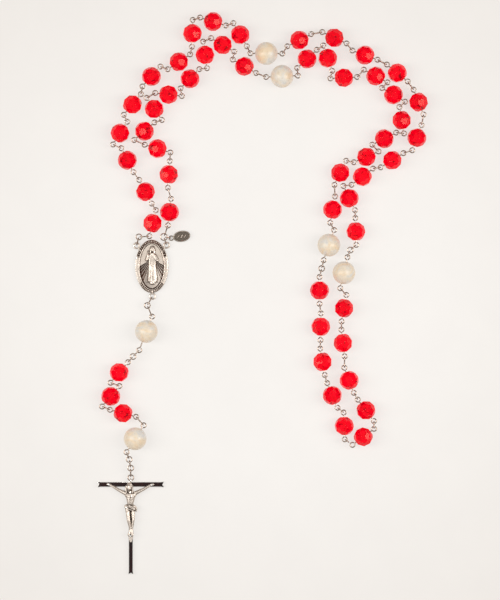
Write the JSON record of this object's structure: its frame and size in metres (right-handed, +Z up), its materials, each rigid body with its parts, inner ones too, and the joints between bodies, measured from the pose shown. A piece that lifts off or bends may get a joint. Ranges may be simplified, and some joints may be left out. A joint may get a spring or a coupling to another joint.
{
  "type": "rosary",
  "caption": "Prayer bead loop of faceted red crystal and pearl beads on linked eye pins, with an oval cast centrepiece, small oval tag and a slim inlaid crucifix.",
  "frame": {"origin": "on the surface that the rosary lies on, under the middle of its laid-out outline", "axes": "+Z up from the surface, +Y along the length of the layout away from the crucifix's foot, +X to the right with the crucifix at the left"},
  "size_m": [0.1451, 0.2469, 0.01],
  "materials": {
    "red_crystal": "clear red faceted crystal, polished",
    "pearl": "cream mother-of-pearl lustre, polished",
    "silver_wire": "bright silver-plated round wire",
    "antique_silver": "antiqued cast silver, dark in the recesses",
    "pewter": "dark oxidised pewter",
    "bright_metal": "polished nickel-silver edges",
    "black_inlay": "near-black enamel inlay, glossy",
    "cast_silver": "cast silver, satin with dark recesses"
  },
  "bodies": {
    "centrepiece": {"centrepiece": "antique_silver"},
    "decade_1a": {"decade_1a_beads": "red_crystal", "decade_1a_wires": "silver_wire"},
    "decade_1b": {"decade_1b_beads": "red_crystal", "decade_1b_wires": "silver_wire"},
    "pater_1_pin": {"pater_1_wires": "silver_wire"},
    "pater_1_bead": {"pater_1_bead": "pearl"},
    "decade_2a": {"decade_2a_beads": "red_crystal", "decade_2a_wires": "silver_wire"},
    "decade_2b": {"decade_2b_beads": "red_crystal", "decade_2b_wires": "silver_wire"},
    "pater_2_pin": {"pater_2_wires": "silver_wire"},
    "pater_2_bead": {"pater_2_bead": "pearl"},
    "decade_3a": {"decade_3a_beads": "red_crystal", "decade_3a_wires": "silver_wire"},
    "decade_5b": {"decade_5b_beads": "red_crystal", "decade_5b_wires": "silver_wire"},
    "decade_5a": {"decade_5a_beads": "red_crystal", "decade_5a_wires": "silver_wire"},
    "pater_4_pin": {"pater_4_wires": "silver_wire"},
    "pater_4_bead": {"pater_4_bead": "pearl"},
    "decade_4b": {"decade_4b_beads": "red_crystal", "decade_4b_wires": "silver_wire"},
    "decade_4a": {"decade_4a_beads": "red_crystal", "decade_4a_wires": "silver_wire"},
    "pater_3_pin": {"pater_3_wires": "silver_wire"},
    "pater_3_bead": {"pater_3_bead": "pearl"},
    "decade_3b": {"decade_3b_beads": "red_crystal", "decade_3b_wires": "silver_wire"},
    "tag_ring": {"tag_ring": "silver_wire"},
    "tag": {"tag": "pewter"},
    "pendant_link_1": {"pendant_link_1": "silver_wire"},
    "pendant_ring_1": {"pendant_ring_1": "silver_wire"},
    "pendant_link_2": {"pendant_link_2": "silver_wire"},
    "pendant_pater_upper_pin": {"pendant_pater_upper_pin": "silver_wire"},
    "pendant_pater_upper_bead": {"pendant_pater_upper_bead": "pearl"},
    "pendant_link_3": {"pendant_link_3": "silver_wire"},
    "pendant_ring_2": {"pendant_ring_2": "silver_wire"},
    "pendant_link_4": {"pendant_link_4": "silver_wire"},
    "pendant_ave_1_pin": {"pendant_ave_1_pin": "silver_wire"},
    "pendant_ave_1_bead": {"pendant_ave_1_bead": "red_crystal"},
    "pendant_link_5": {"pendant_link_5": "silver_wire"},
    "pendant_ave_2_pin": {"pendant_ave_2_pin": "silver_wire"},
    "pendant_ave_2_bead": {"pendant_ave_2_bead": "red_crystal"},
    "pendant_link_6": {"pendant_link_6": "silver_wire"},
    "pendant_ave_3_pin": {"pendant_ave_3_pin": "silver_wire"},
    "pendant_ave_3_bead": {"pendant_ave_3_bead": "red_crystal"},
    "pendant_link_7": {"pendant_link_7": "silver_wire"},
    "pendant_pater_lower_pin": {"pendant_pater_lower_pin": "silver_wire"},
    "pendant_pater_lower_bead": {"pendant_pater_lower_bead": "pearl"},
    "pendant_link_8": {"pendant_link_8": "silver_wire"},
    "pendant_ring_3": {"pendant_ring_3": "silver_wire"},
    "pendant_link_9": {"pendant_link_9": "silver_wire"},
    "pendant_ring_4": {"pendant_ring_4": "silver_wire"},
    "pendant_link_10": {"pendant_link_10": "silver_wire"},
    "crucifix_ring": {"crucifix_ring": "silver_wire"},
    "crucifix": {"cross_frame": "bright_metal", "cross_inlay": "black_inlay", "corpus": "cast_silver", "corpus_nails": "bright_metal"}
  },
  "joints": [
    {"name": "decade_1a_lift", "type": "hinge", "parent": "centrepiece", "child": "decade_1a", "pos_m": [-0.05417, 0.02225, 0.00135], "axis": [-0.9606, 0.2781, 0], "range_deg": [-30, 30]},
    {"name": "decade_1b_lift", "type": "hinge", "parent": "decade_1a", "child": "decade_1b", "pos_m": [-0.05224, 0.08854, 0.00426], "axis": [0.983, -0.1838, 0], "range_deg": [-30, 30]},
    {"name": "pater_1_lift", "type": "hinge", "parent": "decade_1b", "child": "pater_1_pin", "pos_m": [-0.00551, 0.10747, 0.00426], "axis": [0.8986, 0.4387, 0], "range_deg": [-30, 30]},
    {"name": "pater_1_spin", "type": "hinge", "parent": "pater_1_pin", "child": "pater_1_bead", "pos_m": [0.00253, 0.10527, 0.005], "axis": [1, -0.0094, 0], "continuous": true},
    {"name": "decade_2a_lift", "type": "hinge", "parent": "pater_1_pin", "child": "decade_2a", "pos_m": [0.01013, 0.10606, 0.005], "axis": [0.8208, -0.5713, 0], "range_deg": [-30, 30]},
    {"name": "decade_2b_lift", "type": "hinge", "parent": "decade_2a", "child": "decade_2b", "pos_m": [0.07135, 0.07748, 0.00426], "axis": [0.9812, -0.193, 0], "range_deg": [-30, 30]},
    {"name": "pater_2_lift", "type": "hinge", "parent": "decade_2b", "child": "pater_2_pin", "pos_m": [0.04118, 0.02067, 0.00426], "axis": [-0.6585, 0.7526, 0], "range_deg": [-30, 30]},
    {"name": "pater_2_spin", "type": "hinge", "parent": "pater_2_pin", "child": "pater_2_bead", "pos_m": [0.03655, 0.00915, 0.005], "axis": [-0.2262, -0.9741, 0], "continuous": true},
    {"name": "decade_3a_lift", "type": "hinge", "parent": "pater_2_pin", "child": "decade_3a", "pos_m": [0.03568, 0.00156, 0.005], "axis": [0.7404, 0.6722, 0], "range_deg": [-30, 30]},
    {"name": "decade_5b_lift", "type": "hinge", "parent": "centrepiece", "child": "decade_5b", "pos_m": [-0.04165, 0.02245, 0.00135], "axis": [-0.9564, -0.2922, 0], "range_deg": [-5, 30]},
    {"name": "decade_5a_lift", "type": "hinge", "parent": "decade_5b", "child": "decade_5a", "pos_m": [-0.04903, 0.08638, 0.00426], "axis": [0.4947, -0.8691, 0], "range_deg": [-30, 30]},
    {"name": "pater_4_lift", "type": "hinge", "parent": "decade_5a", "child": "pater_4_pin", "pos_m": [-0.00101, 0.09635, 0.00426], "axis": [0.3807, 0.9247, 0], "range_deg": [-30, 30]},
    {"name": "pater_4_spin", "type": "hinge", "parent": "pater_4_pin", "child": "pater_4_bead", "pos_m": [0.00941, 0.09523, 0.005], "axis": [0.9991, 0.0417, 0], "continuous": true},
    {"name": "decade_4b_lift", "type": "hinge", "parent": "pater_4_pin", "child": "decade_4b", "pos_m": [0.0163, 0.09657, 0.005], "axis": [0.9954, 0.096, 0], "range_deg": [-30, 30]},
    {"name": "decade_4a_lift", "type": "hinge", "parent": "decade_4b", "child": "decade_4a", "pos_m": [0.06265, 0.08345, 0.00426], "axis": [0.684, -0.7294, 0], "range_deg": [-30, 30]},
    {"name": "pater_3_lift", "type": "hinge", "parent": "decade_4a", "child": "pater_3_pin", "pos_m": [0.03105, 0.03013, 0.00426], "axis": [-0.8827, -0.47, 0], "range_deg": [-30, 30]},
    {"name": "pater_3_spin", "type": "hinge", "parent": "pater_3_pin", "child": "pater_3_bead", "pos_m": [0.02998, 0.02126, 0.005], "axis": [-0.3248, -0.9458, 0], "continuous": true},
    {"name": "decade_3b_lift", "type": "hinge", "parent": "pater_3_pin", "child": "decade_3b", "pos_m": [0.02745, 0.01362, 0.005], "axis": [0.9715, -0.2372, 0], "range_deg": [-30, 30]},
    {"name": "tag_ring_lift", "type": "hinge", "parent": "decade_5b", "child": "tag_ring", "pos_m": [-0.04092, 0.02467, 0.00281], "axis": [0.1544, 0.988, 0], "range_deg": [-45, 25]},
    {"name": "tag_swing", "type": "hinge", "parent": "tag_ring", "child": "tag", "pos_m": [-0.0392, 0.0244, 0.00125], "axis": [0, 0, 1], "range_deg": [-45, 45]},
    {"name": "pendant_link_1_lift", "type": "hinge", "parent": "centrepiece", "child": "pendant_link_1", "pos_m": [-0.04807, -0.00225, 0.00135], "axis": [-0.8783, 0.4782, 0], "range_deg": [-45, 45]},
    {"name": "pendant_ring_1_swing", "type": "hinge", "parent": "pendant_link_1", "child": "pendant_ring_1", "pos_m": [-0.04969, -0.00522, 0.00317], "axis": [0, 0, -1], "range_deg": [-25, 45]},
    {"name": "pendant_link_2_lift", "type": "hinge", "parent": "pendant_ring_1", "child": "pendant_link_2", "pos_m": [-0.04917, -0.00636, 0.00317], "axis": [0.911, 0.4123, 0], "range_deg": [-45, 45]},
    {"name": "pendant_pater_upper_swing", "type": "hinge", "parent": "pendant_link_2", "child": "pendant_pater_upper_pin", "pos_m": [-0.0475, -0.01005, 0.005], "axis": [0, 0, 1], "range_deg": [-45, 45]},
    {"name": "pendant_pater_upper_spin", "type": "hinge", "parent": "pendant_pater_upper_pin", "child": "pendant_pater_upper_bead", "pos_m": [-0.05001, -0.01659, 0.005], "axis": [-0.3573, -0.934, 0], "continuous": true},
    {"name": "pendant_link_3_lift", "type": "hinge", "parent": "pendant_pater_upper_pin", "child": "pendant_link_3", "pos_m": [-0.05389, -0.02555, 0.005], "axis": [-0.7108, 0.7034, 0], "range_deg": [-45, 45]},
    {"name": "pendant_ring_2_swing", "type": "hinge", "parent": "pendant_link_3", "child": "pendant_ring_2", "pos_m": [-0.05587, -0.02756, 0.00463], "axis": [0, 0, -1], "range_deg": [-45, 45]},
    {"name": "pendant_link_4_lift", "type": "hinge", "parent": "pendant_ring_2", "child": "pendant_link_4", "pos_m": [-0.05671, -0.02848, 0.00463], "axis": [0.7413, -0.6712, 0], "range_deg": [-45, 45]},
    {"name": "pendant_ave_1_swing", "type": "hinge", "parent": "pendant_link_4", "child": "pendant_ave_1_pin", "pos_m": [-0.05815, -0.03008, 0.00426], "axis": [0, 0, 1], "range_deg": [-45, 45]},
    {"name": "pendant_ave_1_spin", "type": "hinge", "parent": "pendant_ave_1_pin", "child": "pendant_ave_1_bead", "pos_m": [-0.06196, -0.03458, 0.00426], "axis": [-0.6458, -0.7635, 0], "continuous": true},
    {"name": "pendant_link_5_lift", "type": "hinge", "parent": "pendant_ave_1_pin", "child": "pendant_link_5", "pos_m": [-0.06479, -0.03945, 0.00426], "axis": [-0.343, -0.9393, 0], "range_deg": [-45, 45]},
    {"name": "pendant_ave_2_swing", "type": "hinge", "parent": "pendant_link_5", "child": "pendant_ave_2_pin", "pos_m": [-0.06186, -0.04052, 0.00426], "axis": [0, 0, -1], "range_deg": [-45, 5]},
    {"name": "pendant_ave_2_spin", "type": "hinge", "parent": "pendant_ave_2_pin", "child": "pendant_ave_2_bead", "pos_m": [-0.06567, -0.04502, 0.00426], "axis": [-0.6464, -0.763, 0], "continuous": true},
    {"name": "pendant_link_6_lift", "type": "hinge", "parent": "pendant_ave_2_pin", "child": "pendant_link_6", "pos_m": [-0.06851, -0.04991, 0.00426], "axis": [0.3742, 0.9273, 0], "range_deg": [-45, 45]},
    {"name": "pendant_ave_3_swing", "type": "hinge", "parent": "pendant_link_6", "child": "pendant_ave_3_pin", "pos_m": [-0.06596, -0.05094, 0.00426], "axis": [0, 0, 1], "range_deg": [-45, 5]},
    {"name": "pendant_ave_3_spin", "type": "hinge", "parent": "pendant_ave_3_pin", "child": "pendant_ave_3_bead", "pos_m": [-0.06027, -0.05248, 0.00426], "axis": [0.9655, -0.2603, 0], "continuous": true},
    {"name": "pendant_link_7_lift", "type": "hinge", "parent": "pendant_ave_3_pin", "child": "pendant_link_7", "pos_m": [-0.05386, -0.05479, 0.00426], "axis": [-0.7384, -0.6743, 0], "range_deg": [-45, 45]},
    {"name": "pendant_pater_lower_swing", "type": "hinge", "parent": "pendant_link_7", "child": "pendant_pater_lower_pin", "pos_m": [-0.0512, -0.0577, 0.005], "axis": [0, 0, -1], "range_deg": [-45, 15]},
    {"name": "pendant_pater_lower_spin", "type": "hinge", "parent": "pendant_pater_lower_pin", "child": "pendant_pater_lower_bead", "pos_m": [-0.05496, -0.06361, 0.005], "axis": [-0.5366, -0.8439, 0], "continuous": true},
    {"name": "pendant_link_8_lift", "type": "hinge", "parent": "pendant_pater_lower_pin", "child": "pendant_link_8", "pos_m": [-0.05837, -0.07051, 0.005], "axis": [0.944, 0.33, 0], "range_deg": [-45, 45]},
    {"name": "pendant_ring_3_swing", "type": "hinge", "parent": "pendant_link_8", "child": "pendant_ring_3", "pos_m": [-0.05758, -0.07275, 0.004], "axis": [0, 0, 1], "range_deg": [-45, 45]},
    {"name": "pendant_link_9_lift", "type": "hinge", "parent": "pendant_ring_3", "child": "pendant_link_9", "pos_m": [-0.05739, -0.07399, 0.004], "axis": [-0.9888, -0.1494, 0], "range_deg": [-45, 45]},
    {"name": "pendant_ring_4_swing", "type": "hinge", "parent": "pendant_link_9", "child": "pendant_ring_4", "pos_m": [-0.057, -0.0766, 0.003], "axis": [0, 0, -1], "range_deg": [-45, 45]},
    {"name": "pendant_link_10_lift", "type": "hinge", "parent": "pendant_ring_4", "child": "pendant_link_10", "pos_m": [-0.057, -0.07785, 0.003], "axis": [1, 0, 0], "range_deg": [-45, 45]},
    {"name": "crucifix_ring_swing", "type": "hinge", "parent": "pendant_link_10", "child": "crucifix_ring", "pos_m": [-0.057, -0.0809, 0.0019], "axis": [0, 0, 1], "range_deg": [-45, 45]},
    {"name": "crucifix_swing", "type": "hinge", "parent": "crucifix_ring", "child": "crucifix", "pos_m": [-0.057, -0.08215, 0.0019], "axis": [1, 0, 0], "range_deg": [-75, 70]}
  ]
}
